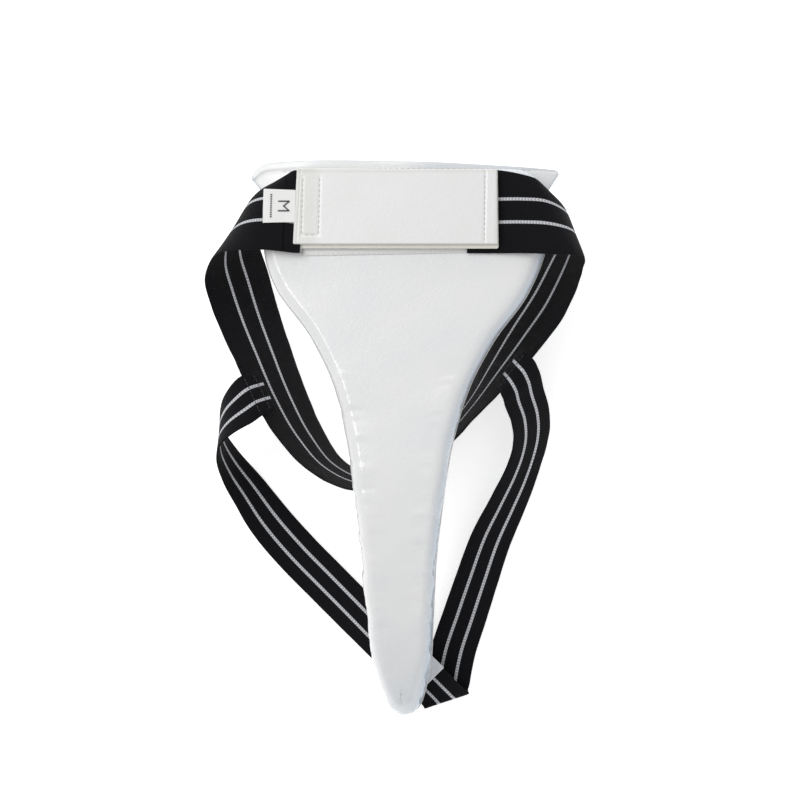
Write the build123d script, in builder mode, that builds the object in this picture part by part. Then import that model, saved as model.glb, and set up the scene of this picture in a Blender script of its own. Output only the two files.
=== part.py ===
"""Groin protector: a padded front guard with one waistband and one leg strap.

The guard lies on its back on a level surface, as it is laid out after wear.
X runs across the guard, +Y runs along it towards the waist, +Z is up.
The guard is an arch: flat at the waist and bent down to the surface at its lower tip.
"""
import os
from math import asin, atan2, cos, degrees, hypot, radians, sin, sqrt

from build123d import *

os.makedirs("parts", exist_ok=True)

# ---- driving dimensions, millimetres and degrees ----
GUARD_TOP = 163        # upper end of the foam, measured from the layout's own zero
GUARD_TIP = -170       # lower tip
GUARD_THICKNESS = 20
BACK_HEIGHT = 50       # height of the flat back over the surface it lies on
BEND_START = -10       # where the flat part ends and the bend begins
BEND_RADIUS = 288      # bend of the back face
FRONT_ROUND = 6        # rounding of the front edge
TOP_CORNER = 22        # rounding of the foam's upper corners
VINYL = 1.2            # covering of the guard
LINER = 1.0
COMFORT_FOAM = 6

WAIST_WIDTH = 50
LEG_WIDTH = 28
ELASTIC = 1.5          # thickness of both elastics

TAB_LEFT, TAB_RIGHT = -64.2, 57.5
TAB_LOW, TAB_HIGH = 113.0, 159.5
TAB_STEP = 2.4         # how far the backing shows below the front of the tab
TAB_BACKING = 0.8
TAB_FRONT = 2.7
HOOK_TAPE = 1.0
LOOP_TAPE = 1.2
BASE_PANEL = 1.0
TAPE_GAP = 0.3         # between hook tape and loop tape

LAY_SHIFT = (8.7, -0.1, -0.26)   # puts the origin under the middle of the whole layout

# ---- levels over the surface ----
FRONT_LEVEL = BACK_HEIGHT + GUARD_THICKNESS
PANEL_TOP = FRONT_LEVEL + BASE_PANEL
LOOP_TOP = PANEL_TOP + LOOP_TAPE
HOOK_BOTTOM = LOOP_TOP + TAPE_GAP
BACKING_BOTTOM = HOOK_BOTTOM + HOOK_TAPE
FRONT_BOTTOM = BACKING_BOTTOM + TAB_BACKING
TAB_TOP = FRONT_BOTTOM + TAB_FRONT
TAB_BAND_LEVEL = FRONT_BOTTOM + TAB_FRONT / 2     # middle of the elastic inside the tab
HINGE_X = TAB_LEFT - 1.3                          # line where the tab peels from the band
END_BAND_LEVEL = PANEL_TOP + ELASTIC / 2          # middle of the sewn end of the band

# Each stop of an elastic: its middle, then the heading and the rise, in degrees,
# of the line across it from the lower edge to the upper edge, as the wearer has them.
WAIST_ROUTE = [
    (HINGE_X - 0.15, 136, TAB_BAND_LEVEL, 90, 0),
    (-81, 137, 74, 86, -6),
    (-94, 136, 69, 81, -17),
    (-105, 131, 57, 71, -31),
    (-112, 123, 43, 61, -38),
    (-114, 111, 33, 50, -38),
    (-111, 96, 24, 40, -42),
    (-105, 77, 20, 32, -49),
    (-95, 54, 21.5, 26, -55),
    (-82, 26, 23, 24, -60),
    (-67, 1, 24.2, 33, -67),
    (-50, -17.5, 24.6, 55, -74),
    (-29, -26, 24.7, 86, -76),
    (-5, -18, 24.6, 108, -75),
    (17, -2, 24, 121, -69),
    (38, 22, 23.6, 127, -66),
    (54, 47, 21.5, 130, -54),
    (67, 68, 19, 138, -44),
    (80, 88, 20, 141, -40),
    (90, 106, 27, 134, -40),
    (98, 121, 38, 121, -40),
    (101, 132, 53, 113, -33),
    (96, 137, 66, 105, -20),
    (86, 138, 73, 99, -8),
    (73, 137, 72.6, 94, -3),
    (58, 136, END_BAND_LEVEL, 90, 0),
    (40, 136, END_BAND_LEVEL, 90, 0),
]
LEG_ROUTE = [
    (-86, 29.5, 34, 118, -1),
    (-90.5, 27.5, 42.5, 118, -1),
    (-95, 25, 48, 117, -3),
    (-102, 19, 50.5, 117, -14),
    (-110, 12, 48, 114, -30),
    (-116, 4, 41, 104, -43),
    (-118, -6, 30, 91, -47),
    (-114, -18, 19, 76, -44),
    (-104, -33, 12, 59, -38),
    (-91, -51, 8, 47, -24),
    (-73, -71, 5, 43, -10),
    (-55, -88, 5, 42, -2),
    (-35, -106, 9, 42, 4),
    (-16, -123, 15, 43, 14),
    (2, -140, 15.7, 45, 20),
    (14, -150, 10.3, 45, 19),
    (21, -157, 7.3, 29, 13),
    (25, -161, 4.6, 20, 3),
    (24, -157, 1.8, 13, 0),
    (25, -147, 1.8, -3, -2),
    (28, -131, 4, -9, -12),
    (35, -109, 7, -12, -20),
    (43, -84, 9, -14, -28),
    (51, -60, 10, -15, -34),
    (60, -40, 11, -14, -42),
    (68, -22, 12.5, -9, -49),
    (73, -8, 15, -2, -51),
    (76, 4, 22, 8, -47),
    (76, 16, 31, 18, -39),
    (73, 27, 39, 29, -27),
    (71.5, 34, 44.5, 41, -14),
    (69, 39, 46.5, 48, -2),
    (66, 42.5, 44, 53, 4),
    (63, 45.5, 39, 54, 5),
    (59, 49.5, 32, 55, 5),
]

STITCH_LENGTH = 2.4
STITCH_PITCH = 3.6
STITCH = 0.5           # thickness of a thread


# ---- shapes that several pieces share ----
SHOULDER = (87, GUARD_TOP - TOP_CORNER)
SIDE_END = (9, GUARD_TIP + 4)
SIDE = Spline(SHOULDER, (86, 116), (76, 89), (56, 60), (43, 35), (32.5, 0),
              (26.5, -40), (22.5, -75), (20, -110), (17, -140), SIDE_END)


def guard_outline(inset=0.0):
    """Plan of the guard: a wide waist that narrows to a slim rounded tip."""
    steps = [i / 14 for i in range(15)]
    side = [SIDE @ t + (SIDE % t).rotate(Axis.Z, -90) * inset for t in steps]
    top = (SHOULDER[0] - TOP_CORNER, GUARD_TOP - inset)
    with BuildSketch() as outline:
        with BuildLine():
            Line((0, GUARD_TOP - inset), top)
            RadiusArc(top, side[0], TOP_CORNER - inset)
            Spline(*side)
            TangentArc(side[-1], (0, GUARD_TIP + inset), tangent=SIDE % 1)
            Line((0, GUARD_TIP + inset), (0, GUARD_TOP - inset))
        make_face()
        mirror(about=Plane.YZ)
    return outline.sketch


def guard_layer(low, high, inset=0.0):
    """Slice of the bent guard between two depths measured from its back face."""
    reach = 36                                # degrees of bend, past the tip
    inner, outer = BEND_RADIUS + low, BEND_RADIUS + high
    centre = BACK_HEIGHT - BEND_RADIUS
    angle = radians(90 + reach)
    with BuildPart() as layer:
        with BuildSketch(Plane.XY):
            add(guard_outline(inset))
        extrude(amount=BACK_HEIGHT + GUARD_THICKNESS + 5)
        with BuildSketch(Plane.YZ.offset(-120)):
            with BuildLine():
                lower = JernArc((BEND_START, centre + inner), (-1, 0), inner, reach)
                upper = JernArc((BEND_START, centre + outer), (-1, 0), outer, reach)
                Line(lower @ 1, upper @ 1)
                Polyline(lower @ 0, (200, centre + inner), (200, centre + outer), upper @ 0)
            make_face()
        extrude(amount=240, mode=Mode.INTERSECT)
    return layer.part


def back_height(y):
    """Height of the back face over the surface."""
    run = max(0.0, BEND_START - y)
    return BACK_HEIGHT - BEND_RADIUS + sqrt(BEND_RADIUS ** 2 - run ** 2)


def rounded(layer, radius):
    """The same layer with its front edge rounded."""
    with BuildPart() as soft:
        add(layer)
        front = [f for f in soft.faces() if f.normal_at(f.center()).Z > 0.6]
        rim = [e for f in front for e in f.edges()]
        shared = [e for e in rim if abs(e.center().Y - BEND_START) < 1]
        fillet([e for e in rim if e not in shared], radius)
    return soft.part


def across(stop):
    """Unit vector across an elastic, from its lower edge to its upper edge."""
    heading, rise = radians(stop[3]), radians(stop[4])
    return Vector(cos(rise) * cos(heading), cos(rise) * sin(heading), sin(rise))


def strap_section(route, index, width):
    """Plane across an elastic at one stop, X across it, and the width it is cut to there.

    Where the line across is slanted to the route, as in a fold, the cut is longer.
    """
    before = Vector(*route[max(index - 1, 0)][:3])
    after = Vector(*route[min(index + 1, len(route) - 1)][:3])
    run, line = (after - before).normalized(), across(route[index])
    slant = run.dot(line)
    plane = Plane(origin=route[index][:3], x_dir=line, z_dir=run - line * slant)
    return plane, width / sqrt(1 - slant ** 2)


def strap_spans(route, width):
    """Pairs of neighbouring cross sections of a flat elastic."""
    sections = []
    for index in range(len(route)):
        plane, cut = strap_section(route, index, width)
        with BuildSketch(plane) as section:
            Rectangle(cut, ELASTIC)
        sections.append(section.sketch)
    return zip(sections, sections[1:])


def stitch_places(start, end):
    """Middles of the stitches in a straight row, and the heading of the row."""
    (x0, y0), (x1, y1) = start, end
    length = hypot(x1 - x0, y1 - y0)
    count = max(1, round(length / STITCH_PITCH))
    heading = degrees(atan2(y1 - y0, x1 - x0))
    steps = [(i + 0.5) / count for i in range(count)]
    return [(x0 + (x1 - x0) * s, y0 + (y1 - y0) * s) for s in steps], heading


def stitch_rows(rows, level):
    """Straight rows of short stitches lying on a level face."""
    with BuildPart() as thread:
        for start, end in rows:
            places, heading = stitch_places(start, end)
            with BuildSketch(Plane.XY.offset(level)):
                with Locations(*places):
                    SlotOverall(STITCH_LENGTH, STITCH, rotation=heading)
            extrude(amount=STITCH)
    return thread.part


# ---- guard ----
with BuildPart() as front_cover:
    add(rounded(guard_layer(LINER, GUARD_THICKNESS), FRONT_ROUND))
    add(rounded(guard_layer(LINER, GUARD_THICKNESS - VINYL, VINYL), FRONT_ROUND - VINYL),
        mode=Mode.SUBTRACT)

with BuildPart() as foam_core:
    add(rounded(guard_layer(LINER + COMFORT_FOAM, GUARD_THICKNESS - VINYL, VINYL + 0.2),
                FRONT_ROUND - VINYL))

with BuildPart() as comfort_foam:
    add(guard_layer(LINER, LINER + COMFORT_FOAM, VINYL + 0.2))

SEAM_INSET, SEAM_CHANNEL, SEAM_SINK = 5, 1.4, 0.65  # the back seam is pulled into a channel
SEAM_CLEAR = 0.12      # between its thread and the channel's floor
with BuildPart() as back_liner:
    add(guard_layer(0, LINER))
    with BuildPart(mode=Mode.PRIVATE) as channel:
        add(guard_layer(-0.5, SEAM_SINK, SEAM_INSET - SEAM_CHANNEL / 2))
        add(guard_layer(-0.6, LINER, SEAM_INSET + SEAM_CHANNEL / 2), mode=Mode.SUBTRACT)
    add(channel.part, mode=Mode.SUBTRACT)

PATCH_ACROSS, PATCH_ALONG, PATCH_THICKNESS = 31, 36, 1.0
PATCH_CENTRE, PATCH_HEADING = (4, -141), -45


def on_patch(spot):
    """Whether a place on the back lies under the anchor patch."""
    offset_along = Vector(spot.X - PATCH_CENTRE[0], spot.Y - PATCH_CENTRE[1])
    turned = offset_along.rotate(Axis.Z, -PATCH_HEADING)
    return abs(turned.X) < PATCH_ALONG / 2 + 2 and abs(turned.Y) < PATCH_ACROSS / 2 + 2


HEM_WIDTH, HEM_THICKNESS, HEM_RISE = 168, 2.5, 7.5
with BuildPart() as top_hem:
    with BuildSketch(Plane.XY.offset(BACK_HEIGHT)) as hem:
        with BuildLine():
            Polyline((-66, GUARD_TOP), (66, GUARD_TOP), (HEM_WIDTH / 2, GUARD_TOP + 1),
                     (HEM_WIDTH / 2, GUARD_TOP + HEM_RISE - 3))
            ThreePointArc((HEM_WIDTH / 2, GUARD_TOP + HEM_RISE - 3), (0, GUARD_TOP + HEM_RISE),
                          (-HEM_WIDTH / 2, GUARD_TOP + HEM_RISE - 2))
            Polyline((-HEM_WIDTH / 2, GUARD_TOP + HEM_RISE - 2), (-HEM_WIDTH / 2, GUARD_TOP + 1),
                     (-66, GUARD_TOP))
        make_face()
    extrude(amount=HEM_THICKNESS)

with BuildPart() as top_hem_stitching:
    hem_line = GUARD_TOP + 3.5
    add(stitch_rows([((-80, hem_line), (80, hem_line))], BACK_HEIGHT + HEM_THICKNESS))

with BuildPart() as back_seam_stitching:
    seam_wire = guard_outline(SEAM_INSET).wire()
    seam_count = int(seam_wire.length / (2 * STITCH_PITCH))
    for number in range(seam_count):
        spot = seam_wire @ (number / seam_count)
        if on_patch(spot):
            continue
        along = seam_wire % (number / seam_count)
        lean = asin(max(0.0, BEND_START - spot.Y) / BEND_RADIUS)
        outward = Vector(0, sin(lean), -cos(lean))
        face_point = Vector(spot.X, spot.Y, back_height(spot.Y)) - outward * (SEAM_SINK - SEAM_CLEAR)
        run = Vector(along.X, along.Y, along.Y * sin(lean) / cos(lean))
        with BuildSketch(Plane(origin=face_point, x_dir=run, z_dir=outward)):
            SlotOverall(STITCH_LENGTH + 1, STITCH)
        extrude(amount=STITCH)

PANEL_LEFT, PANEL_RIGHT, PANEL_LOW, PANEL_HIGH = -60.8, 58.6, 109.5, 155.0
with BuildPart() as base_panel:
    with BuildSketch(Plane.XY.offset(FRONT_LEVEL)):
        with Locations(((PANEL_LEFT + PANEL_RIGHT) / 2, (PANEL_LOW + PANEL_HIGH) / 2)):
            RectangleRounded(PANEL_RIGHT - PANEL_LEFT, PANEL_HIGH - PANEL_LOW, 2)
    extrude(amount=BASE_PANEL)

with BuildPart() as base_panel_stitching:
    low, left, right = PANEL_LOW + 0.8, PANEL_LEFT + 2, PANEL_RIGHT - 2
    add(stitch_rows([((left, low), (right, low))], PANEL_TOP))

TAPE_LEFT, TAPE_RIGHT, TAPE_LOW, TAPE_HIGH = -46, 36, 117.5, 153.5
with BuildPart() as loop_tape:
    with BuildSketch(Plane.XY.offset(PANEL_TOP)):
        with Locations(((TAPE_LEFT + TAPE_RIGHT) / 2, (TAPE_LOW + TAPE_HIGH) / 2)):
            RectangleRounded(TAPE_RIGHT - TAPE_LEFT, TAPE_HIGH - TAPE_LOW, 2)
    extrude(amount=LOOP_TAPE)

# ---- elastics ----
with BuildPart() as waistband:
    for span in strap_spans(WAIST_ROUTE, WAIST_WIDTH):
        loft(span, ruled=True)

with BuildPart() as waistband_end_stitching:
    box_left, box_right, box_low, box_high = 43, 53, 117, 155
    add(stitch_rows([
        ((box_left, box_low), (box_left, box_high)),
        ((box_right, box_low), (box_right, box_high)),
        ((box_left + 2, box_low), (box_right - 2, box_low)),
        ((box_left + 2, box_high), (box_right - 2, box_high)),
    ], PANEL_TOP + ELASTIC))

with BuildPart() as leg_strap:
    for span in strap_spans(LEG_ROUTE, LEG_WIDTH):
        loft(span, ruled=True)

with BuildPart() as anchor_patch:
    with BuildSketch(Plane.XY):
        with Locations(PATCH_CENTRE):
            Rectangle(PATCH_ALONG, PATCH_ACROSS, rotation=PATCH_HEADING)
    extrude(amount=BACK_HEIGHT)
    with BuildSketch(Plane.YZ.offset(-60)):
        with BuildLine():
            patch_centre = BACK_HEIGHT - BEND_RADIUS
            inner_arc = JernArc((BEND_START, patch_centre + BEND_RADIUS - PATCH_THICKNESS),
                                (-1, 0), BEND_RADIUS - PATCH_THICKNESS, 36)
            outer_arc = JernArc((BEND_START, BACK_HEIGHT), (-1, 0), BEND_RADIUS, 36)
            Line(inner_arc @ 0, outer_arc @ 0)
            Line(inner_arc @ 1, outer_arc @ 1)
        make_face()
    extrude(amount=120, mode=Mode.INTERSECT)


def cross_bars(route, stops, side):
    """A bar of thread across one face of the leg strap at each of these stops."""
    with BuildPart() as bars:
        for index in stops:
            section, _ = strap_section(route, index, 1)
            outward = section.y_dir * side
            face = Plane(origin=section.origin + outward * ELASTIC / 2, x_dir=section.x_dir,
                         z_dir=outward)
            with BuildSketch(face):
                SlotOverall(LEG_WIDTH - 8, STITCH)
            extrude(amount=STITCH, dir=outward)
    return bars.part


with BuildPart() as anchor_stitching:
    add(cross_bars(LEG_ROUTE, [14, 15], -1))

with BuildPart() as left_junction_stitching:
    add(cross_bars(LEG_ROUTE, [0, 1], -1))

with BuildPart() as right_junction_stitching:
    last = len(LEG_ROUTE) - 1
    add(cross_bars(LEG_ROUTE, [last - 1, last], -1))

# ---- closure tab ----
POCKET_END = -49.0
with BuildPart() as tab_cover:
    with BuildSketch(Plane.XY.offset(FRONT_BOTTOM)):
        with Locations(((TAB_LEFT + TAB_RIGHT) / 2, (TAB_LOW + TAB_STEP + TAB_HIGH) / 2)):
            RectangleRounded(TAB_RIGHT - TAB_LEFT, TAB_HIGH - TAB_LOW - TAB_STEP, 1.5)
    extrude(amount=TAB_FRONT)
    fillet(tab_cover.faces().sort_by(Axis.Z)[-1].edges(), 0.5)
    with BuildSketch(Plane.XY.offset(TAB_BAND_LEVEL - ELASTIC / 2)):
        with Locations(((TAB_LEFT - 5 + POCKET_END) / 2, 136)):
            Rectangle(POCKET_END - TAB_LEFT + 5, WAIST_WIDTH)
    extrude(amount=ELASTIC, mode=Mode.SUBTRACT)

with BuildPart() as waistband_tab_end:
    with BuildSketch(Plane.XY.offset(TAB_BAND_LEVEL - ELASTIC / 2)):
        with Locations(((TAB_LEFT + POCKET_END) / 2, (TAB_LOW + TAB_STEP + TAB_HIGH) / 2)):
            Rectangle(POCKET_END - TAB_LEFT, TAB_HIGH - TAB_LOW - TAB_STEP)
    extrude(amount=ELASTIC)

with BuildPart() as tab_backing:
    with BuildSketch(Plane.XY.offset(BACKING_BOTTOM)):
        with Locations(((TAB_LEFT + TAB_RIGHT) / 2, (TAB_LOW + TAB_HIGH) / 2)):
            RectangleRounded(TAB_RIGHT - TAB_LEFT, TAB_HIGH - TAB_LOW, 1.5)
    extrude(amount=TAB_BACKING)

with BuildPart() as hook_tape:
    with BuildSketch(Plane.XY.offset(HOOK_BOTTOM)):
        with Locations(((TAPE_LEFT + TAPE_RIGHT) / 2, (TAPE_LOW + TAPE_HIGH) / 2)):
            RectangleRounded(TAPE_RIGHT - TAPE_LEFT, TAPE_HIGH - TAPE_LOW, 2)
    extrude(amount=HOOK_TAPE)

BOX_LEFT, BOX_RIGHT, BOX_LOW, BOX_HIGH = -60.5, -50, 121, 156
with BuildPart() as tab_box_stitching:
    add(stitch_rows([
        ((BOX_LEFT, BOX_LOW), (BOX_LEFT, BOX_HIGH)),
        ((BOX_RIGHT, BOX_LOW), (BOX_RIGHT, BOX_HIGH)),
        ((BOX_LEFT + 2, BOX_LOW), (BOX_RIGHT - 2, BOX_LOW)),
        ((BOX_LEFT + 2, BOX_HIGH), (BOX_RIGHT - 2, BOX_HIGH)),
    ], TAB_TOP))

EDGE_ROW = 50.8
with BuildPart() as tab_edge_stitching:
    add(stitch_rows([((EDGE_ROW, TAB_LOW + 4), (EDGE_ROW, TAB_HIGH - 2))], TAB_TOP))

LABEL_LENGTH, LABEL_WIDTH, LABEL_THICKNESS, LABEL_DROOP = 18, 20, 0.4, 3
LABEL_EDGE = (-68.0, 138.5, TAB_BAND_LEVEL + ELASTIC / 2 + 0.5)
with BuildPart() as size_label:
    with BuildSketch(Plane(origin=LABEL_EDGE, x_dir=(-cos(radians(LABEL_DROOP)), 0,
                                                     -sin(radians(LABEL_DROOP))),
                           z_dir=(-sin(radians(LABEL_DROOP)), 0, cos(radians(LABEL_DROOP))))):
        with Locations((LABEL_LENGTH / 2, 0)):
            Rectangle(LABEL_LENGTH, LABEL_WIDTH)
    extrude(amount=LABEL_THICKNESS)

# ---- one file for each piece ----
PIECES = {
    "front_cover": front_cover,
    "foam_core": foam_core,
    "comfort_foam": comfort_foam,
    "back_liner": back_liner,
    "top_hem": top_hem,
    "top_hem_stitching": top_hem_stitching,
    "back_seam_stitching": back_seam_stitching,
    "base_panel": base_panel,
    "base_panel_stitching": base_panel_stitching,
    "loop_tape": loop_tape,
    "waistband": waistband,
    "waistband_end_stitching": waistband_end_stitching,
    "leg_strap": leg_strap,
    "anchor_patch": anchor_patch,
    "anchor_stitching": anchor_stitching,
    "left_junction_stitching": left_junction_stitching,
    "right_junction_stitching": right_junction_stitching,
    "tab_cover": tab_cover,
    "waistband_tab_end": waistband_tab_end,
    "tab_backing": tab_backing,
    "hook_tape": hook_tape,
    "tab_box_stitching": tab_box_stitching,
    "tab_edge_stitching": tab_edge_stitching,
    "size_label": size_label,
}
for name, piece in PIECES.items():
    placed = piece.part.moved(Location(LAY_SHIFT))
    placed.label = name
    export_step(placed, f"parts/{name}.step")
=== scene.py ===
"""A padded groin guard with a peel-off closure tab, a waistband and a leg strap, laid out on a pale table.

Lengths are written in millimetres on the maker's own layout, where x = 0 is the middle of the guard,
y = 0 is where its neck begins and z = 0 is the table. lay() turns them into metres on the shared frame.
"""

import bmesh
import bpy
import numpy as np
from mathutils import Matrix, Vector


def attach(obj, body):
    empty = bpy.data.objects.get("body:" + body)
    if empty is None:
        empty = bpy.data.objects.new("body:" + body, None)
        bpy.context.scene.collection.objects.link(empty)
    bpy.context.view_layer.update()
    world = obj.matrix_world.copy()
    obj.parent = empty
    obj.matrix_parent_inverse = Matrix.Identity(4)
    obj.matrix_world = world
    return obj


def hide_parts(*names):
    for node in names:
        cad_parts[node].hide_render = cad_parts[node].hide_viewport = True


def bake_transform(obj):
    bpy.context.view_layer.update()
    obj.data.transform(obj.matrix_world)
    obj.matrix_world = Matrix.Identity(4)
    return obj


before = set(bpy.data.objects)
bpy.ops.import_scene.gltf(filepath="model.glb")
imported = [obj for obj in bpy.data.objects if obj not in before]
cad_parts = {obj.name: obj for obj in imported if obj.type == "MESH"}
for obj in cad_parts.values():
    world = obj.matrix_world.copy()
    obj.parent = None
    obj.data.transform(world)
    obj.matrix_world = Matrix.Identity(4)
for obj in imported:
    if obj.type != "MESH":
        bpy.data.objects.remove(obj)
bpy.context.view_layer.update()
scene = bpy.context.scene

# ---- the maker's sizes, millimetres ----
LAY_SHIFT = np.array([8.7, -0.1, -0.26])
BACK_HEIGHT, BEND_START, BEND_RADIUS = 50, -10, 288
GUARD_TOP, GUARD_TIP, GUARD_THICK, LINING = 163.0, -170, 20, 1.0
TOP_HALF, TOP_CORNER, TIP_RADIUS = 87, 22, 11.8
SHOULDER_PUSH, SHOULDER_Y, SHOULDER_REACH = 2.4, 96, 24
WAIST_WIDTH, LEG_WIDTH, ELASTIC = 50, 28, 1.5
PANEL_TOP, HOOK_LOW, BACKING_LOW, TAB_LOW_FACE, TAB_TOP = 71, 72.5, 73.5, 74.3, 77.0
TAB_BAND_LEVEL, END_BAND_LEVEL = 75.65, 71.75
EDGE_ROW_X, PRESSED_X, PRESSED_LEAN = 50.8, -62.7, 0.03

# middle of each elastic, then heading and rise in degrees of the line from its lower to its upper
# edge, and for some how far the upper edge rolls inwards
WAIST_ROUTE = [
    (-61.5, 135, 75.2, 90, 0),
    (-65.65, 135.3, 75.4, 90, 0),
    (-72, 136, 75.3, 89, -1, 4),
    (-81, 136.6, 74, 86, -6, 8),
    (-94, 135.6, 69, 81, -17, 10),
    (-105, 131, 57, 71, -31, 8),
    (-112, 123, 43, 61, -38, 4),
    (-114, 111, 33, 50, -38),
    (-111, 96, 24, 40, -42),
    (-105, 77, 20, 32, -49),
    (-95, 54, 21.5, 26, -55),
    (-82, 26, 23, 24, -60),
    (-67, 1, 24.2, 33, -67),
    (-50, -17.5, 24.6, 55, -74),
    (-29, -26, 24.7, 86, -76),
    (-5, -18, 24.6, 108, -75),
    (17, -2, 24, 121, -69),
    (38, 22, 23.6, 127, -66),
    (54, 47, 21.5, 130, -54),
    (67, 68, 19, 138, -44),
    (80, 88, 20, 141, -40),
    (90, 106, 27, 134, -40),
    (98, 121, 38, 121, -40, 3),
    (101, 129.4, 53, 113, -33, 7),
    (96, 132.6, 66, 105, -20, 8),
    (86, 134.8, 73.0, 99, -8, 6),
    (73, 135.6, 72.9, 94, -2, 3),
    (58, 135.7, END_BAND_LEVEL, 90, 0),
    (40, 135.7, END_BAND_LEVEL, 90, 0),
]
LEG_ROUTE = [
    (-86, 29.5, 34, 118, -1),
    (-90.5, 27.5, 42.5, 118, -1),
    (-95, 25, 48, 117, -3),
    (-102, 19, 50.5, 117, -14),
    (-110, 12, 48, 114, -30),
    (-116, 4, 41, 104, -43),
    (-118, -6, 30, 91, -47),
    (-114, -18, 19, 76, -44),
    (-104, -33, 12, 59, -38),
    (-91, -51, 8, 47, -24),
    (-73, -71, 5, 43, -10),
    (-55, -88, 5, 42, -2),
    (-35, -106, 9, 42, 4),
    (-16, -123, 15, 43, 14),
    (2, -140, 15.7, 45, 20),
    (14, -150, 10.3, 45, 19),
    (21, -157, 7.3, 29, 13),
    (25, -161, 4.6, 20, 3),
    (24, -157, 1.8, 13, 0),
    (25, -147, 1.8, -3, -2),
    (28, -131, 4, -9, -12),
    (35, -109, 7, -12, -20),
    (43, -84, 9, -14, -28),
    (51, -60, 10, -15, -34),
    (60, -40, 11, -14, -42),
    (68, -22, 12.5, -9, -49),
    (73, -8, 15, -2, -51),
    (76, 4, 22, 8, -47),
    (76, 16, 31, 18, -39),
    (73, 27, 39, 29, -27),
    (71.5, 34, 44.5, 41, -14),
    (69, 39, 46.5, 48, -2),
    (66, 42.5, 44, 53, 4),
    (63, 45.5, 39, 54, 5),
    (59, 49.5, 32, 55, 5),
]


# ---------------------------------------------------------------- camera
def lay(points):
    """Layout millimetres to metres on the shared frame."""
    return (np.asarray(points, float) + LAY_SHIFT) / 1000


eye = bpy.data.cameras.new("eye")
camera = bpy.data.objects.new("eye", eye)
scene.collection.objects.link(camera)
right, up, back = (0.98736, 0.02413, -0.15664), (-0.01630, 0.99856, 0.05105), (0.15765, -0.04785, 0.98633)
turn = Matrix((right, up, back)).transposed().to_4x4()
camera.matrix_world = Matrix.Translation(Vector(lay((207.945, -62.137, 1352.235)))) @ turn
eye.lens, eye.sensor_width = 97.5, 36
eye.shift_x, eye.shift_y = -0.0025, 0.046
eye.clip_end = 10
scene.camera = camera
scene.view_settings.view_transform = "Standard"


# ---------------------------------------------------------------- shader maths
class Value:
    """A number in a material. Arithmetic on it adds Math nodes."""

    def __init__(self, finish, socket):
        self.finish, self.socket = finish, socket

    def maths(self, operation, *terms, clamp=False):
        return self.finish.node("ShaderNodeMath", {"operation": operation, "use_clamp": clamp},
                                *terms)

    def __add__(self, other):
        return self.maths("ADD", self, other)

    def __radd__(self, other):
        return self.maths("ADD", other, self)

    def __sub__(self, other):
        return self.maths("SUBTRACT", self, other)

    def __rsub__(self, other):
        return self.maths("SUBTRACT", other, self)

    def __mul__(self, other):
        return self.maths("MULTIPLY", self, other)

    def __rmul__(self, other):
        return self.maths("MULTIPLY", other, self)

    def __truediv__(self, other):
        return self.maths("DIVIDE", self, other)

    def wave(self, pitch):
        """A ripple between -1 and 1 that repeats every pitch."""
        return self.maths("SINE", self * (2 * np.pi / pitch))

    def size(self):
        return self.maths("ABSOLUTE", self)

    def held(self):
        """Kept between 0 and 1."""
        return self.maths("ADD", self, 0, clamp=True)


class Finish:
    """One material: a Principled shader and the nodes that feed it."""

    def __init__(self, name, **constants):
        self.material = bpy.data.materials.new(name)
        self.material.use_nodes = True
        self.tree = self.material.node_tree
        self.shader = self.tree.nodes["Principled BSDF"]
        for socket, value in constants.items():
            self.shader.inputs[socket.replace("_", " ")].default_value = value

    def node(self, kind, settings=None, *values, out=0, **named):
        """A node of this kind, its settings made first, then its sockets' values or links."""
        made = self.tree.nodes.new(kind)
        for key, value in (settings or {}).items():
            setattr(made, key, value)
        pairs = list(enumerate(values)) + [(k.replace("_", " "), v) for k, v in named.items()]
        for key, value in pairs:
            if isinstance(value, Value):
                self.tree.links.new(value.socket, made.inputs[key])
            else:
                made.inputs[key].default_value = value
        return Value(self, made.outputs[out])

    def feed(self, socket, value):
        self.tree.links.new(value.socket, self.shader.inputs[socket])

    def place(self):
        """Object coordinates in metres."""
        return self.node("ShaderNodeTexCoord", out="Object")

    def noise(self, scale, detail=3.0, rough=0.55, where=None):
        return self.node("ShaderNodeTexNoise", None, Vector=where or self.place(), Scale=scale,
                         Detail=detail, Roughness=rough)

    def own(self, attribute):
        """The piece's own numbers: x, y and z of an attribute."""
        read = self.node("ShaderNodeAttribute", {"attribute_name": attribute}, out="Vector")
        parts = self.node("ShaderNodeSeparateXYZ", None, read)
        outputs = parts.socket.node.outputs
        return [Value(self, outputs[k]) for k in range(3)]

    def mixed(self, share, first, second):
        """A colour between two colours."""
        made = self.tree.nodes.new("ShaderNodeMix")
        made.data_type = "RGBA"
        for key, value in ((0, share), (6, first), (7, second)):
            if isinstance(value, Value):
                self.tree.links.new(value.socket, made.inputs[key])
            else:
                made.inputs[key].default_value = value if key == 0 else (*value, 1)
        return Value(self, made.outputs[2])

    def bump(self, height, depth):
        """Relief of this depth in metres on the surface's normal."""
        self.feed("Normal", self.node("ShaderNodeBump", None, Strength=1.0, Distance=depth,
                                      Height=height))


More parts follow.
